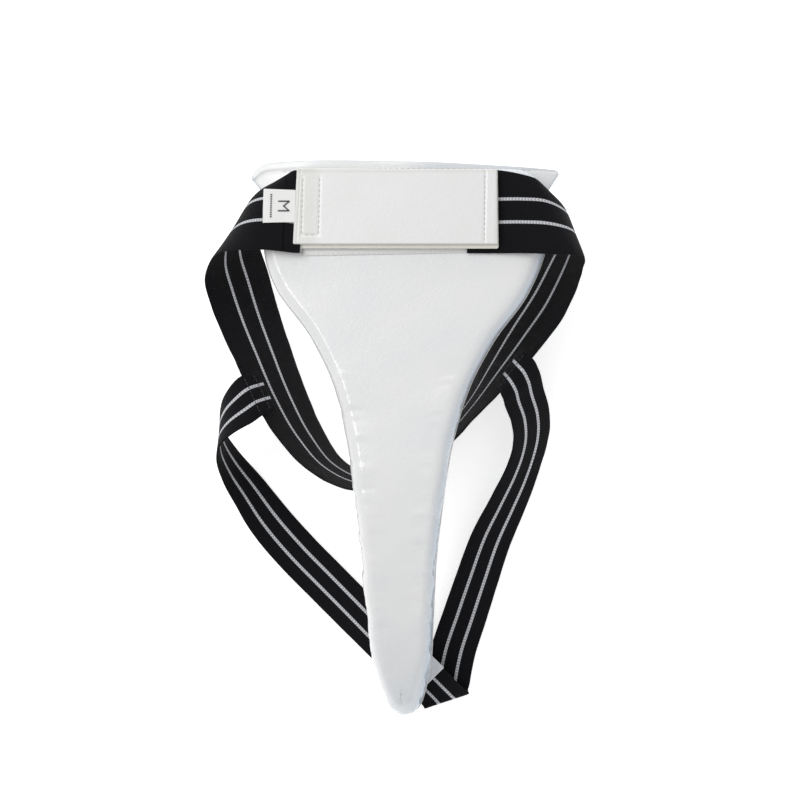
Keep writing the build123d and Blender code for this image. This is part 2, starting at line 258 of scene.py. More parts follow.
def vinyl(name, light=(0.81, 0.81, 0.81), shade=(0.52, 0.58, 0.65), rough=0.25):
    """Glossy coated cloth: fine leather grain, slow mottling, and a greyer, bluer tone mixed in by the
    piece's own numbers. On the guard that tone is painted shade; on the hem, base and tab it greys their
    edges."""
    finish = Finish(name, Coat_Roughness=0.09)
    shade_and_tone = finish.own("shade_and_tone")[0]
    mottle = finish.noise(38, 4)
    # the piece's own numbers mix in the bluish shade colour: painted shade on the guard, greyer edges on the
    # panels
    tone = (shade_and_tone * 0.85 + (mottle - 0.5) * 0.35 + 0.03).held()
    finish.feed("Base Color", finish.mixed(tone, light, shade))
    finish.feed("Roughness", (mottle - 0.5) * 0.25 + finish.noise(420, 2) * 0.14 + (rough - 0.07))
    finish.feed("Coat Weight", (0.5 - shade_and_tone * 0.25).held())
    cells = finish.node("ShaderNodeTexVoronoi", {"feature": "SMOOTH_F1"}, Vector=finish.place(),
                        Scale=1150.0)
    finish.bump(cells + finish.noise(260, 3) * 1.2, 0.00009)
    return finish.material


def elastic(name, stripes):
    """Near-black woven elastic, ribbed across and along, with two light braided stripes. The first
    two of the piece's own numbers are millimetres across and along it."""
    finish = Finish(name, Specular_IOR_Level=0.10)
    across, along, _ = finish.own("weave")
    ribs = across.wave(1.15) * 0.5 + 0.5
    picks = along.wave(0.95) * 0.5 + 0.5
    fluff = finish.noise(900, 2)
    cloth = (ribs * 0.45 + picks * 0.3 + fluff * 0.35).held()
    colour = finish.mixed(cloth, (0.0012, 0.0012, 0.0018), (0.0085, 0.0085, 0.0105))
    relief = ribs * 0.6 + picks * 0.5
    for middle in stripes:
        away = (across - middle).size()
        band = (1 - (away - 0.78) / 0.3).held()
        braid = (along + away * 0.9).wave(1.9) * 0.5 + 0.5
        split = (1 - (away - 0.02) / 0.16).held()
        light = (0.42 + braid * 0.58 - split * 0.3).held()
        thread = finish.mixed(light, (0.09, 0.09, 0.105), (0.74, 0.75, 0.79))
        colour = finish.mixed(band, colour, thread)
        relief = relief + band * (braid * 0.9 + 0.5)
    finish.feed("Base Color", colour)
    finish.feed("Roughness", 0.62 + fluff * 0.25)
    finish.bump(relief, 0.00022)
    return finish.material


def cloth(name, light, dark, pitch, rough=0.75, depth=0.00012, slant=0.0, sheen=0.15):
    """Plain woven cloth: threads of this pitch in millimetres, crossing, on the piece's own weave."""
    finish = Finish(name, Sheen_Weight=sheen)
    across, along, _ = finish.own("weave")
    warp = (across + along * slant).wave(pitch) * 0.5 + 0.5
    weft = (along - across * slant).wave(pitch * 0.8) * 0.5 + 0.5
    threads = warp * weft + (1 - warp) * (1 - weft)
    stain = finish.noise(60, 3)
    finish.feed("Base Color", finish.mixed((threads * 0.6 + stain * 0.5).held(), dark, light))
    finish.feed("Roughness", rough + (stain - 0.5) * 0.2)
    finish.bump(threads + finish.noise(1500, 2) * 0.5, depth)
    return finish.material


def pile(name, light, dark, scale, rough, depth):
    """Hooks or loops standing close together."""
    finish = Finish(name)
    tufts = finish.node("ShaderNodeTexVoronoi", None, Vector=finish.place(), Scale=scale)
    fluff = finish.noise(scale * 0.7, 3)
    finish.feed("Base Color", finish.mixed((tufts * 0.9 + fluff * 0.4).held(), light, dark))
    finish.feed("Roughness", rough + (fluff - 0.5) * 0.2)
    finish.bump(1 - tufts, depth)
    return finish.material


def sewing(name, light, dark):
    """Twisted thread."""
    finish = Finish(name, Sheen_Weight=0.2)
    across, along, _ = finish.own("weave")
    twist = (along + across * 2).wave(0.5) * 0.5 + 0.5
    finish.feed("Base Color", finish.mixed(twist, dark, light))
    finish.feed("Roughness", 0.55 + finish.noise(700, 2) * 0.2)
    finish.bump(twist, 0.00008)
    return finish.material


WHITE_VINYL = vinyl("white_vinyl")
TAB_VINYL = vinyl("tab_vinyl", (0.80, 0.80, 0.80), (0.66, 0.66, 0.62), 0.34)
WAIST_ELASTIC = elastic("waist_elastic", (7.5, -6.35))
LEG_ELASTIC = elastic("leg_elastic", (4.8, -4.8))
CREAM = cloth("cream_backing", (0.84, 0.83, 0.77), (0.66, 0.64, 0.56), 0.7)
LINING_CLOTH = cloth("grey_lining", (0.74, 0.74, 0.73), (0.52, 0.52, 0.52), 1.1, 0.85, 0.0002)
TWILL = cloth("woven_tape", (0.82, 0.83, 0.85), (0.50, 0.51, 0.54), 1.9, 0.7, 0.0002, slant=0.9)
SATIN = cloth("label_satin", (0.90, 0.90, 0.89), (0.74, 0.74, 0.73), 0.35, 0.5, 0.00004, sheen=0.3)
HOOKS = pile("hook_tape", (0.78, 0.78, 0.77), (0.45, 0.45, 0.45), 900, 0.45, 0.0004)
LOOPS = pile("loop_tape", (0.80, 0.80, 0.79), (0.55, 0.55, 0.55), 650, 0.9, 0.0005)
WHITE_THREAD = sewing("white_thread", (0.82, 0.82, 0.81), (0.58, 0.58, 0.57))
BLACK_THREAD = sewing("black_thread", (0.035, 0.035, 0.04), (0.008, 0.008, 0.009))
INK = sewing("label_ink", (0.03, 0.03, 0.035), (0.02, 0.02, 0.025))


# ---------------------------------------------------------------- shapes
def ease(x):
    """A smooth step from 0 to 1."""
    x = np.clip(x, 0, 1)
    return x * x * (3 - 2 * x)


def ripple(at, pitch, seed):
    """Uneven waves along a line: random heights every pitch, joined by smooth steps."""
    rng = np.random.default_rng(seed)
    low = np.min(at)
    knots = rng.uniform(-1, 1, int(np.ptp(at) / pitch) + 3)
    spot = (at - low) / pitch
    k = spot.astype(int)
    return knots[k] + (knots[k + 1] - knots[k]) * ease(spot - k)


def smooth_line(stops, step):
    """Points about a step apart on the line through the stops. Between neighbours it is a cubic, and
    its slope at a stop is that of the parabola through the stop and its two neighbours."""
    stops = np.asarray(stops, float)
    lengths = np.linalg.norm(np.diff(stops[:, :3], axis=0), axis=1)
    run = np.r_[0, np.cumsum(lengths)]
    slope = np.gradient(stops, run, axis=0, edge_order=2)
    at = np.linspace(0, run[-1], int(run[-1] / step) + 2)
    k = np.clip(np.searchsorted(run, at, side="right") - 1, 0, len(run) - 2)
    gap = (run[k + 1] - run[k])[:, None]
    f = (at - run[k])[:, None] / gap
    return ((1 + 2 * f) * (1 - f) ** 2 * stops[k] + f * (1 - f) ** 2 * gap * slope[k]
            + f * f * (3 - 2 * f) * stops[k + 1] + f * f * (f - 1) * gap * slope[k + 1])


def skin(name, rows, finish, weave=None, shade_and_tone=None, close=True):
    """A closed surface from a grid of points (row, place round the row, xyz) in layout millimetres.
    Each row is a loop; the first and last rows fold flat on themselves and are sewn shut."""
    n, m = rows.shape[:2]
    number = np.arange(n * m).reshape(n, m)
    after = np.roll(number, -1, axis=1)
    faces = np.stack([number[:-1], after[:-1], after[1:], number[1:]], -1).reshape(-1, 4)
    mesh = bpy.data.meshes.new(name)
    mesh.from_pydata(lay(rows).reshape(-1, 3), [], faces)
    extra = {"weave": weave, "shade_and_tone": shade_and_tone}
    for label, numbers in extra.items():
        own = mesh.attributes.new(label, "FLOAT_VECTOR", "POINT")
        full = np.zeros((n, m, 3))
        if numbers is not None:
            full[..., :numbers.shape[-1]] = numbers
        own.data.foreach_set("vector", full.ravel())
    sewn = bmesh.new()
    sewn.from_mesh(mesh)
    bmesh.ops.remove_doubles(sewn, verts=sewn.verts, dist=2e-6)
    bmesh.ops.dissolve_degenerate(sewn, edges=sewn.edges, dist=1e-6)
    bmesh.ops.recalc_face_normals(sewn, faces=sewn.faces)
    sewn.to_mesh(mesh)
    sewn.free()
    mesh.shade_smooth()
    mesh.materials.append(finish)
    piece = bpy.data.objects.new(name, mesh)
    scene.collection.objects.link(piece)
    return piece


def sandwich(top, bottom):
    """Rows whose loops run over the top face and back under the bottom face, with both ends
    closed on the middle of the thickness."""
    rows = np.concatenate([top, bottom[:, ::-1]], axis=1)
    middle = (top + bottom) / 2
    ends = np.concatenate([middle, middle[:, ::-1]], axis=1)
    return np.concatenate([ends[:1], rows, ends[-1:]])


def edge_steps(count):
    """From -1 to 1, closer together near both ends."""
    return np.sin(np.linspace(-np.pi / 2, np.pi / 2, count))


def panel(name, corners, thick, finish, corner=1.5, soft=0.6, relief=None, bend=None,
          counts=(90, 50), shade_and_tone=None):
    """A flat panel between four corners (low left, low right, high right, high left) of its
    underside. With a and b from -1 to 1, its plan is the bilinear blend of the corners, each corner
    square turned to a quarter disc by (p sqrt(1 - q q / 2), q sqrt(1 - p p / 2)); its thickness
    falls as a quarter circle in the last stretch before each edge."""
    corners = np.asarray(corners, float)
    width = np.linalg.norm(corners[1] - corners[0])
    height = np.linalg.norm(corners[3] - corners[0])
    a, b = np.meshgrid(edge_steps(counts[0]), edge_steps(counts[1]))
    ra, rb = 2 * corner / width, 2 * corner / height
    p, q = np.clip((abs(a) - 1 + ra) / ra, 0, 1), np.clip((abs(b) - 1 + rb) / rb, 0, 1)
    both = (p > 0) & (q > 0)
    a = np.where(both, np.sign(a) * (1 - ra + ra * p * np.sqrt(1 - q * q / 2)), a)
    b = np.where(both, np.sign(b) * (1 - rb + rb * q * np.sqrt(1 - p * p / 2)), b)
    shares = np.stack([(1 - a) * (1 - b), (1 + a) * (1 - b), (1 + a) * (1 + b),
                       (1 - a) * (1 + b)], -1) / 4
    plan = shares @ corners
    inward = np.minimum((1 - abs(a)) * width / 2, (1 - abs(b)) * height / 2)
    fall = 1 - np.sqrt(1 - (1 - np.clip(inward / soft, 0, 1)) ** 2)
    normal = np.cross(corners[1] - corners[0], corners[3] - corners[0])
    normal /= np.linalg.norm(normal)
    lift = thick * (1 - 0.42 * fall)
    if relief is not None:
        lift = lift + relief(plan[..., 0], plan[..., 1])
    top = plan + lift[..., None] * normal
    bottom = plan + (thick * 0.42 * fall)[..., None] * normal
    if bend is not None:
        top, bottom = bend(top), bend(bottom)
    weave = np.stack([a * width / 2, b * height / 2], -1)
    # a panel without numbers of its own is greyer within about 2.2 mm of its edges
    edge_greying = ease(1 - inward / 2.2) * 0.55 if shade_and_tone is None else shade_and_tone(plan[..., 0], plan[..., 1])
    numbers = sandwich(weave, weave)
    return skin(name, sandwich(top, bottom), finish, numbers,
                sandwich(edge_greying[..., None], edge_greying[..., None]))


def strap(name, route, width, finish, thick=ELASTIC, step=1.6, start=0.0, part=None):
    """A flat elastic through its stops. Each row is cut along the line across it, longer by
    1 / sqrt(1 - slant squared) where that line is slanted to the run, with soft edges. The upper
    edge rolls inwards by the roll times the square of the share past the middle."""
    stops = np.array([(*stop, 0)[:6] for stop in route], float)
    heading, rise = np.radians(stops[:, 3]), np.radians(stops[:, 4])
    lines = np.stack([np.cos(rise) * np.cos(heading), np.cos(rise) * np.sin(heading),
                      np.sin(rise)], -1)
    path = smooth_line(np.hstack([stops[:, :3], lines, stops[:, 5:]]), step)
    middle, line, roll = path[:, :3], path[:, 3:6], np.maximum(path[:, 6, None, None], 0)
    gaps = np.linalg.norm(np.diff(middle, axis=0), axis=1)
    along = np.r_[0, np.cumsum(gaps)] + start
    line /= np.linalg.norm(line, axis=1)[:, None]
    run = np.gradient(middle, axis=0)
    run /= np.linalg.norm(run, axis=1)[:, None]
    slant = (run * line).sum(1)
    face = np.cross(run, line)
    face /= np.linalg.norm(face, axis=1)[:, None]
    cut = width / np.sqrt(1 - slant ** 2)
    u = edge_steps(37) / 2
    places = middle[:, None] + line[:, None] * (u[None, :, None] * cut[:, None, None])
    curl = roll * (np.clip(u - 0.12, 0, 1)[None, :, None] / 0.38) ** 2
    places = places + (face[:, None] * 0.55 - line[:, None] * 0.7) * curl
    half = thick / 2 * np.sqrt(1 - (2 * abs(u)) ** 14 * 0.75)
    sag = (0.16 * ripple(along, 7, 3)[:, None] * abs(2 * u[None]) ** 3
           + 0.12 * ripple(along, 11, 8)[:, None] * u[None] * 2)
    top = places + face[:, None] * (half[None, :, None] + sag[..., None])
    bottom = places - face[:, None] * (half[None, :, None] - sag[..., None])
    weave = np.stack([np.broadcast_to(u * width, sag.shape),
                      along[:, None] + u[None] * (cut * slant)[:, None]], -1)
    if part is not None:
        keep = part(middle)
        top, bottom, weave = top[keep], bottom[keep], weave[keep]
    return skin(name, sandwich(top, bottom), finish, sandwich(weave, weave))


def seam(name, middles, runs, normals, finish, length=2.4, radius=0.28):
    """A row of stitches. Each is a lens: rings of radius r sin(angle) along the run, flattened
    onto the cloth."""
    middles, runs, normals = (np.asarray(x, float) for x in (middles, runs, normals))
    runs = runs / np.linalg.norm(runs, axis=1)[:, None]
    sides = np.cross(normals, runs)
    rings = np.linspace(0, np.pi, 6)
    turns = np.linspace(0, 2 * np.pi, 7)[:-1]
    x = -np.cos(rings)[:, None] * length / 2 + 0 * turns
    y = np.sin(rings)[:, None] ** 0.7 * np.cos(turns) * radius
    z = np.sin(rings)[:, None] ** 0.7 * np.sin(turns) * radius * 0.8 - 0.35 * radius * (
        abs(np.cos(rings)[:, None]) ** 3)
    grid = (middles[:, None, None] + runs[:, None, None] * x[None, ..., None]
            + sides[:, None, None] * y[None, ..., None] + normals[:, None, None] * z[None, ..., None])
    n, k, m = grid.shape[:3]
    number = np.arange(n * k * m).reshape(n, k, m)
    after = np.roll(number, -1, axis=2)
    faces = np.stack([number[:, :-1], after[:, :-1], after[:, 1:], number[:, 1:]], -1)
    mesh = bpy.data.meshes.new(name)
    mesh.from_pydata(lay(grid).reshape(-1, 3), [], faces.reshape(-1, 4))
    own = mesh.attributes.new("weave", "FLOAT_VECTOR", "POINT")
    numbers = np.zeros((n, k, m, 3))
    numbers[..., 0], numbers[..., 1] = y, x
    own.data.foreach_set("vector", numbers.ravel())
    sewn = bmesh.new()
    sewn.from_mesh(mesh)
    bmesh.ops.remove_doubles(sewn, verts=sewn.verts, dist=2e-6)
    bmesh.ops.recalc_face_normals(sewn, faces=sewn.faces)
    sewn.to_mesh(mesh)
    sewn.free()
    mesh.shade_smooth()
    mesh.materials.append(finish)
    piece = bpy.data.objects.new(name, mesh)
    scene.collection.objects.link(piece)
    return piece


def rows_of(lines, level, pitch):
    """Middles, runs and normals of the stitches in straight level rows."""
    middles, runs = [], []
    for start, end in lines:
        start, end = np.array(start, float), np.array(end, float)
        length = np.linalg.norm(end - start)
        count = max(1, round(length / pitch))
        share = ((np.arange(count) + 0.5) / count)[:, None]
        middles.append(start + (end - start) * share)
        runs.append(np.broadcast_to((end - start) / length, (count, 2)))
    flat = np.concatenate(middles)
    ways = np.concatenate(runs)
    level = np.full(len(flat), float(level))
    return (np.column_stack([flat, level]), np.column_stack([ways, 0 * level]),
            np.tile([0.0, 0.0, 1.0], (len(flat), 1)))


def bent(y, depth):
    """Height of the bent guard at this place along it and this depth over its back face."""
    reach = BEND_RADIUS + depth
    out = np.maximum(0, BEND_START - y)
    return BACK_HEIGHT - BEND_RADIUS + np.sqrt(reach ** 2 - out ** 2)


# ---------------------------------------------------------------- guard
def outline(count):
    """Plan of the guard from the middle of its top edge, round the right side and the tip and back:
    a straight edge, a quarter circle, a curve through the side's stops and its mirror image, which
    is pushed out a little at the left shoulder."""
    angle = np.radians(np.linspace(90, 0, 14))
    corner_x, corner_y = TOP_HALF - TOP_CORNER, GUARD_TOP - TOP_CORNER
    corner = np.column_stack([corner_x + TOP_CORNER * np.cos(angle),
                              corner_y + TOP_CORNER * np.sin(angle)])
    edge = np.column_stack([np.linspace(0, corner_x, 16)[:-1], np.full(15, GUARD_TOP)])
    side = smooth_line([(87, 141, 0), (86, 116, 0), (76, 89, 0), (56, 60, 0), (43, 35, 0), (32.5, 0, 0),
                        (26.5, -40, 0), (22.5, -75, 0), (20, -110, 0), (17, -140, 0), (9, -166, 0)],
                       3)[1:, :2]
    turn = np.radians(np.linspace(40, 90, 6))[1:]
    tip = np.column_stack([TIP_RADIUS * np.cos(turn), GUARD_TIP + TIP_RADIUS * (1 - np.sin(turn))])
    tip[-1] = (0, GUARD_TIP)
    half = np.concatenate([edge, corner, side[:-1], tip])
    run = np.r_[0, np.cumsum(np.linalg.norm(np.diff(half, axis=0), axis=1))]
    at = np.linspace(0, run[-1], count // 2 + 1)
    right_half = np.column_stack([np.interp(at, run, half[:, k]) for k in range(2)])
    loop = np.concatenate([right_half, right_half[-2:0:-1] * (-1, 1)])
    for _ in range(6):
        loop = (np.roll(loop, 1, 0) + 2 * loop + np.roll(loop, -1, 0)) / 4
    push = SHOULDER_PUSH * np.exp(-((loop[:, 1] - SHOULDER_Y) / SHOULDER_REACH) ** 2)
    loop[:, 0] -= push * (loop[:, 0] < 0)
    return loop


def rings(loop, insets, depths, inner, fold=None):
    """Rows of a shell round the outline: each row is the outline moved inwards by an inset, at a
    depth over the back face; past the last inset it runs to the spine in even steps."""
    run = np.roll(loop, -1, 0) - np.roll(loop, 1, 0)
    run /= np.linalg.norm(run, axis=1)[:, None]
    inward = np.column_stack([run[:, 1], -run[:, 0]])
    spine = np.column_stack([0 * loop[:, 0], np.clip(loop[:, 1] * 0.985, -157, 112)])
    rows = [np.column_stack([loop + inward * i, np.full(len(loop), d)])
            for i, d in zip(insets, depths)]
    last = loop + inward * insets[-1]
    for share in np.linspace(0, 1, inner + 1)[1:]:
        rows.append(np.column_stack([last + (spine - last) * share,
                                     np.full(len(loop), depths[-1])]))
    return np.array(rows), inward


LOOP = outline(900)
quarter = np.radians(np.linspace(0, 90, 13))
ROUND_IN, ROUND_UP = 8.0, 7.5
wall_rise = np.linspace(LINING + 0.6, GUARD_THICK - ROUND_UP, 9)
front_insets = np.r_[0.5, 0.1, np.full(8, 0.0), ROUND_IN * (1 - np.cos(quarter[1:])), 9.3]
front_depths = np.r_[LINING, LINING + 0.25, wall_rise[1:], GUARD_THICK - ROUND_UP
                     + ROUND_UP * np.sin(quarter[1:]), GUARD_THICK]
front, inward = rings(LOOP, front_insets, front_depths, 18)
under, _ = rings(LOOP, np.array([0.5, 3, 6.5]), np.full(3, LINING), 6)
cover = np.concatenate([front[::-1], under[1:]])
spots, depth = cover[..., :2], cover[..., 2]
round_run = np.r_[0, np.cumsum(np.linalg.norm(np.diff(LOOP, axis=0), axis=1))]
low_part = ease((60 - LOOP[:, 1]) / 90)
phase = round_run[None] + (depth - 9) * 0.9
pull = (1.1 * ripple(phase, 6.5, 11) + 0.7 * ripple(phase + 40, 2.9, 12)) * low_part[None]
pull += 0.22 * ripple(phase, 16, 13)
push = pull * np.exp(-((depth - 10) / 7.5) ** 2) * (depth > LINING + 0.1)
bulge = 0.7 * np.exp(-((depth - 9.5) / 5) ** 2)
away = np.linalg.norm(cover[..., :2] - LOOP[None], axis=-1)
near = ease((11 - away) / 9)
moved = spots - inward[None] * ((push * 0.55 + bulge - 0.7) * near)[..., None]
wave = (0.30 * ripple(moved[..., 1] + moved[..., 0] * 0.4, 27, 21)
        + 0.2 * ripple(moved[..., 1] - moved[..., 0] * 0.7, 13, 22))
sink = (0.9 * np.exp(-away / 5) + 0.25 + wave * 0.5) * ease((104 - moved[..., 1]) / 14)
# short dents along the rounding, below the shoulders
DENT_DEPTH, DENT_INSET, DENT_WIDTH, DENT_TOP = 0.9, 9, 6, 50
dents = (ripple(round_run, 7, 31) * 0.5 + ripple(round_run + 30, 3.1, 32) * 0.25)[None]
across_dent = np.exp(-((away - DENT_INSET) / DENT_WIDTH) ** 2)
sink += DENT_DEPTH * dents * across_dent * ease((DENT_TOP - moved[..., 1]) / 14)
sink = sink * ease((depth - 12) / 8)
tall = bent(moved[..., 1], depth - np.maximum(sink, 0) * 0.9)
# painted shade: the cover is greyer and bluer down its right-hand wall and rounding, which face away from
# the key lamp, towards the tip, where it bends down away from the light, and along its bottom edge by the
# lining
shade_and_tone = (ease((GUARD_THICK - 0.25 - depth) / 5) * ease((moved[..., 0] + 10) / 30)
        + 0.35 * ease((-95 - moved[..., 1]) / 75)
        + 0.3 * np.exp(-abs(depth - LINING) / 0.8) + 0.02)
guard = skin("guard_cover", np.dstack([moved, tall]), WHITE_VINYL,
             np.dstack([moved]), shade_and_tone[..., None])

# lining on the back: the same outline, one millimetre thick
back_in = np.array([0.9, 0.5, 0.5, 0.9, 5, 12])
back_depth = np.array([LINING - 0.02, LINING - 0.25, 0.25, 0.02, 0, 0.12])
outer, _ = rings(LOOP, back_in, back_depth, 14)
inner, _ = rings(LOOP, np.array([0.9, 6]), np.full(2, LINING - 0.02), 6)
lining_rows = np.concatenate([inner[::-1], outer[1:]])
lining_rows[..., 2] = bent(lining_rows[..., 1], lining_rows[..., 2])
lining = skin("back_lining", lining_rows, LINING_CLOTH, lining_rows[..., :2])

# ---------------------------------------------------------------- hem behind the waist
HEM_Z = 50


def hem_droop(p):
    """The free corners of the hem bend down under the band and its middle stays level."""
    out = p.copy()
    out[..., 2] -= 6.5 * np.clip((abs(p[..., 0]) - 58) / 40, 0, 2) ** 2
    out[..., 1] += 3.2 * (1 - (p[..., 0] / 95) ** 2) * ease((p[..., 1] - 156) / 14)
    out[..., 1] -= 7.0 * ease((-86 - p[..., 0]) / 16) ** 2
    out[..., 2] += 0.5 * np.sin(p[..., 0] / 11) * ease((p[..., 1] - 160) / 8)
    return out


def hem_fold(x, y):
    """A stitched crease along the hem."""
    return -0.55 * np.exp(-((y - 163.6) / 0.8) ** 2) + 0.35 * ease((y - 164) / 2)


hem = panel("top_hem_edge", [(-91, 149, HEM_Z), (84, 149, HEM_Z), (93.5, 164.6, HEM_Z),
                             (-101.5, 170.0, HEM_Z)], 2.4, WHITE_VINYL, corner=5.0, soft=1.2,
            relief=hem_fold, bend=hem_droop, counts=(150, 40))

# ---------------------------------------------------------------- closure
base = panel("base_panel_cloth", [(-60.8, 108.9, 70), (58.6, 111.6, 70), (58.4, 155, 70),
                                  (-60.6, 155, 70)], 1.0, TAB_VINYL, corner=2, soft=0.5)
loops = panel("loop_tape_pile", [(-46, 117.5, PANEL_TOP), (36, 117.5, PANEL_TOP),
                                 (36, 153.5, PANEL_TOP), (-46, 153.5, PANEL_TOP)], 1.2, LOOPS,
              corner=2, soft=0.4)
hooks = panel("hook_tape_face", [(-46, 117.5, HOOK_LOW), (36, 117.5, HOOK_LOW),
                                 (36, 153.5, HOOK_LOW), (-46, 153.5, HOOK_LOW)], 1.0, HOOKS,
              corner=2, soft=0.4)
TAB_CORNERS = [(-66.0, 113.0), (59.3, 113.2), (57.6, 160.7), (-64.6, 161.6)]
backing = panel("tab_backing_cloth", [(x, y, BACKING_LOW) for x, y in TAB_CORNERS], 0.8, CREAM,
                corner=1.5, soft=0.4)


def tab_relief(x, y):
    """Sewn rows press a shallow groove into the tab, and it is a little fuller between them. A
    fainter slanted line is pressed in by its left end."""
    rows = np.exp(-((x + 60.6) / 0.7) ** 2) + np.exp(-((x + 50.1) / 0.7) ** 2)
    rows = rows * ease((y - 119) / 3) * ease((158 - y) / 3)
    foot = np.exp(-((y - 121) / 0.7) ** 2) * ease((x + 62) / 2) * ease((-48.5 - x) / 2)
    edge_row = np.exp(-((x - EDGE_ROW_X) / 0.7) ** 2)
    edge_row = edge_row + 0.7 * np.exp(-((x - PRESSED_X + PRESSED_LEAN * (136 - y)) / 0.4) ** 2)
    swell = 0.10 * np.sin((x + 10) / 17) * np.sin((y - 113) / 15)
    return -0.32 * np.minimum(rows + foot + edge_row, 1) + swell - 0.12


front_corners = [(-65.8, 115.2, TAB_LOW_FACE), (59.2, 115.6, TAB_LOW_FACE),
                 (57.6, 160.6, TAB_LOW_FACE), (-64.5, 161.5, TAB_LOW_FACE)]


def tab_tone(x, y):
    """Yellower along the sewn end, greyer at the edges."""
    end = ease((-49 - x) / 6) * 0.55
    rim = ease((116.5 - y) / 1.5) + ease((y - 158) / 1.4) + ease((x - 56) / 1.4)
    return end + 0.5 * np.minimum(rim, 1) + 0.08


tab = panel("tab_face", front_corners, 2.6, TAB_VINYL, corner=1.5, soft=0.9, relief=tab_relief,
            counts=(200, 80), shade_and_tone=tab_tone)

# ---------------------------------------------------------------- elastics
SPLIT_X = -71.0


def worn(p):
    """The stretch of the waistband outside the tab."""
    first = np.arange(len(p)) < 40
    return ~(first & (p[:, 0] > SPLIT_X))


def tucked(p):
    """The stretch of the waistband at the tab and inside it."""
    first = np.arange(len(p)) < 40
    return first & (p[:, 0] > SPLIT_X - 1.2)


waist = strap("waistband_elastic", WAIST_ROUTE, WAIST_WIDTH, WAIST_ELASTIC, step=0.8, part=worn)
tab_band = strap("tab_end_elastic", WAIST_ROUTE, WAIST_WIDTH, WAIST_ELASTIC, step=0.8,
                 part=tucked)
leg = strap("leg_elastic_strap", LEG_ROUTE, LEG_WIDTH, LEG_ELASTIC, step=1.0,
            part=lambda p: (np.arange(len(p)) >= 5) & (np.arange(len(p)) < len(p) - 10))


def under_tip(p):
    """Follows the bent back of the guard, just under the lining."""
    out = p.copy()
    out[..., 2] = bent(p[..., 1], p[..., 2] - 1.0)
    return out


centre, half_long, half_wide, quarter_turn = np.array([2.6, -139.6]), 15.8, 15.3, np.radians(-45)
axis_long = np.array([np.cos(quarter_turn), np.sin(quarter_turn)])
axis_wide = np.array([-axis_long[1], axis_long[0]])
patch_corners = [(*(centre + axis_long * half_long * i + axis_wide * half_wide * j), 0)
                 for i, j in ((-1, -1), (1, -1), (1, 1), (-1, 1))]
patch = panel("anchor_patch_tape", patch_corners, 0.95, TWILL, corner=0.6, soft=0.4,
              bend=under_tip, counts=(50, 44))

# ---------------------------------------------------------------- size label
LABEL_Z = 76.62
label_corners = [(-84.6, 128.2, LABEL_Z - 1.0), (-64.6, 128.7, LABEL_Z), (-64.6, 148.2, LABEL_Z),
                 (-84.6, 149.0, LABEL_Z - 1.0)]


def label_curl(p):
    """The free end stands off the band a little and curls."""
    out = p.copy()
    share = ease((-66 - p[..., 0]) / 18)
    out[..., 2] += 0.9 * share + 0.25 * share * np.cos((p[..., 1] - 138.5) / 5)
    return out


label = panel("size_label_cloth", label_corners, 0.35, SATIN, corner=0.4, soft=0.2,
              bend=label_curl, counts=(50, 50))
letter = bpy.data.curves.new("size_letter", "FONT")
letter.body, letter.align_x, letter.align_y = "M", "CENTER", "CENTER"
letter.size, letter.extrude, letter.offset = 0.0108, 0.00004, -0.00014
draft = bpy.data.objects.new("draft", letter)
letter_mesh = bpy.data.meshes.new_from_object(draft)
bpy.data.objects.remove(draft)
spot = Vector(lay((-72.2, 138.4, LABEL_Z + 0.62)))
letter_mesh.transform(Matrix.Translation(spot) @ Matrix.Rotation(np.radians(-90), 4, "Z"))
letter_mesh.materials.append(INK)
size_mark = bpy.data.objects.new("size_mark", letter_mesh)
scene.collection.objects.link(size_mark)
dashes = rows_of([((-79.6, 131.2), (-79.6, 146.0))], LABEL_Z + 0.75, 1.35)
mark_line = seam("size_mark_line", *dashes, INK, length=0.85, radius=0.62)

# ---------------------------------------------------------------- stitching
tab_box = rows_of([((-60.6, 121), (-60.6, 156)), ((-50.1, 121), (-50.1, 156)),
                   ((-58.8, 121), (-52, 121)), ((-58.8, 156), (-52, 156))], TAB_TOP - 0.38, 3.1)
box_seam = seam("tab_box_seam", *tab_box, WHITE_THREAD, length=2.2)
edge_rows = rows_of([((EDGE_ROW_X, 117), (50.2, 157.5))], TAB_TOP - 0.38, 3.1)
edge_seam = seam("tab_edge_seam", *edge_rows, WHITE_THREAD, length=2.2)
base_seam = seam("base_panel_seam", *rows_of([((-58.8, 109.9), (56.6, 112.3))], PANEL_TOP - 0.05,
                                             3.1), WHITE_THREAD, length=2.2, radius=0.22)
end_rows = rows_of([((43, 117), (43, 155)), ((53, 117), (53, 155)), ((45, 117), (51, 117)),
                    ((45, 155), (51, 155))], PANEL_TOP + ELASTIC, 3.1)
end_seam = seam("band_end_seam", *end_rows, BLACK_THREAD, length=2.2, radius=0.22)
hem_x = np.linspace(-78, 74, 44)
hem_points = hem_droop(np.column_stack([hem_x, 163.6 + 0 * hem_x, HEM_Z + 2.0 + 0 * hem_x]))
hem_runs = np.gradient(hem_points, axis=0)
hem_seam = seam("hem_seam", hem_points, hem_runs, np.tile([0.0, 0.0, 1.0], (44, 1)),
                WHITE_THREAD, length=2.3, radius=0.3)

back_line = LOOP + inward * 5.0
steps = np.linspace(0, len(back_line), 218, endpoint=False).astype(int)
on_back = np.column_stack([back_line, bent(back_line[:, 1], 0.0)])
ways = (np.roll(on_back, -3, 0) - np.roll(on_back, 3, 0))[steps]
lean_back = np.arcsin(np.maximum(0, BEND_START - on_back[steps, 1]) / BEND_RADIUS)
down = np.column_stack([0 * lean_back, np.sin(lean_back), -np.cos(lean_back)])
turned = (on_back[steps, :2] - centre) @ np.column_stack([axis_long, axis_wide])
clear = (abs(turned[:, 0]) > half_long + 1) | (abs(turned[:, 1]) > half_wide + 1)
back_seam = seam("back_seam", on_back[steps][clear], ways[clear], down[clear], WHITE_THREAD,
                 length=2.9, radius=0.3)


